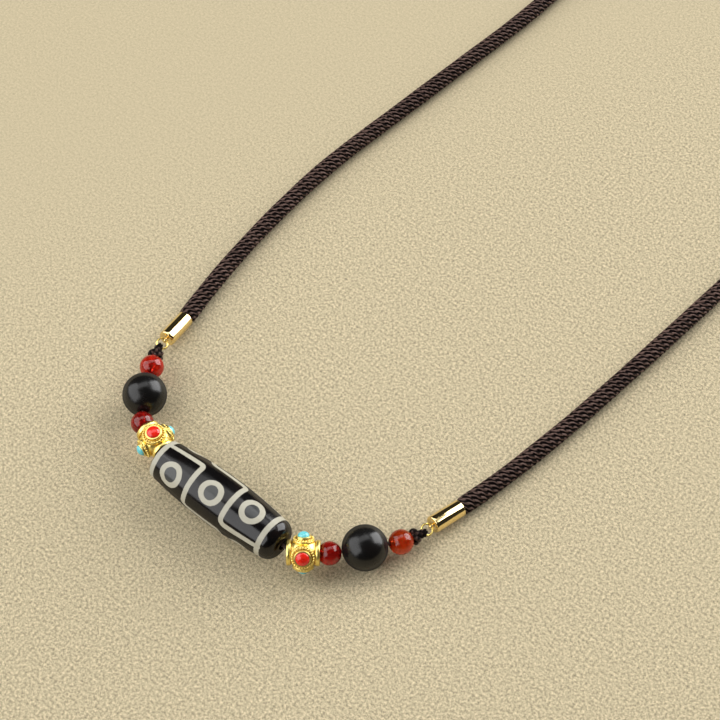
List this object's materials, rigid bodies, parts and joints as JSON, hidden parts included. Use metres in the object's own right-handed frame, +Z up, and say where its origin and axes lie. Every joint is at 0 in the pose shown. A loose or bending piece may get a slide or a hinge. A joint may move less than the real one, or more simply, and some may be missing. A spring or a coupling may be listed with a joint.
{
  "type": "dzi bead necklace",
  "caption": "Slip-on necklace lying flat: a long patterned barrel bead between gold, red and black beads, with gold end caps on a thick twisted cord.",
  "frame": {"origin": "on the surface that it lies on, at the middle of the box round the beads and end caps", "axes": "+X along the long patterned bead, +Y towards the back of the neck, +Z up from the surface"},
  "size_m": [0.1092, 0.2612, 0.0121],
  "materials": {
    "patterned_agate": "polished dark agate with cream lines",
    "gold": "polished gold with soft wear in the hollows",
    "polished_gold": "mirror polished gold",
    "coral": "polished red cabochon",
    "turquoise": "polished blue cabochon",
    "red_agate": "polished translucent red",
    "black_stone": "polished black",
    "knot_cord": "dark waxed cord",
    "thread": "dark waxed thread",
    "twisted_cord": "twisted strands with a soft sheen"
  },
  "bodies": {
    "root": {"dzi_bead": "patterned_agate", "gold_bead_left": "gold", "gold_bead_right": "gold", "coral_top_left": "coral", "coral_under_left": "coral", "coral_top_right": "coral", "coral_under_right": "coral", "turquoise_back_left": "turquoise", "turquoise_front_left": "turquoise", "turquoise_back_right": "turquoise", "turquoise_front_right": "turquoise", "agate_inner_left": "red_agate", "agate_inner_right": "red_agate", "agate_outer_left": "red_agate", "agate_outer_right": "red_agate", "black_bead_left": "black_stone", "black_bead_right": "black_stone", "knot_left": "knot_cord", "knot_right": "knot_cord", "bead_thread": "thread", "jump_ring_left": "gold", "jump_ring_right": "gold", "end_cap_left": "polished_gold", "end_cap_right": "polished_gold", "neck_cord": "twisted_cord"}
  },
  "joints": []
}
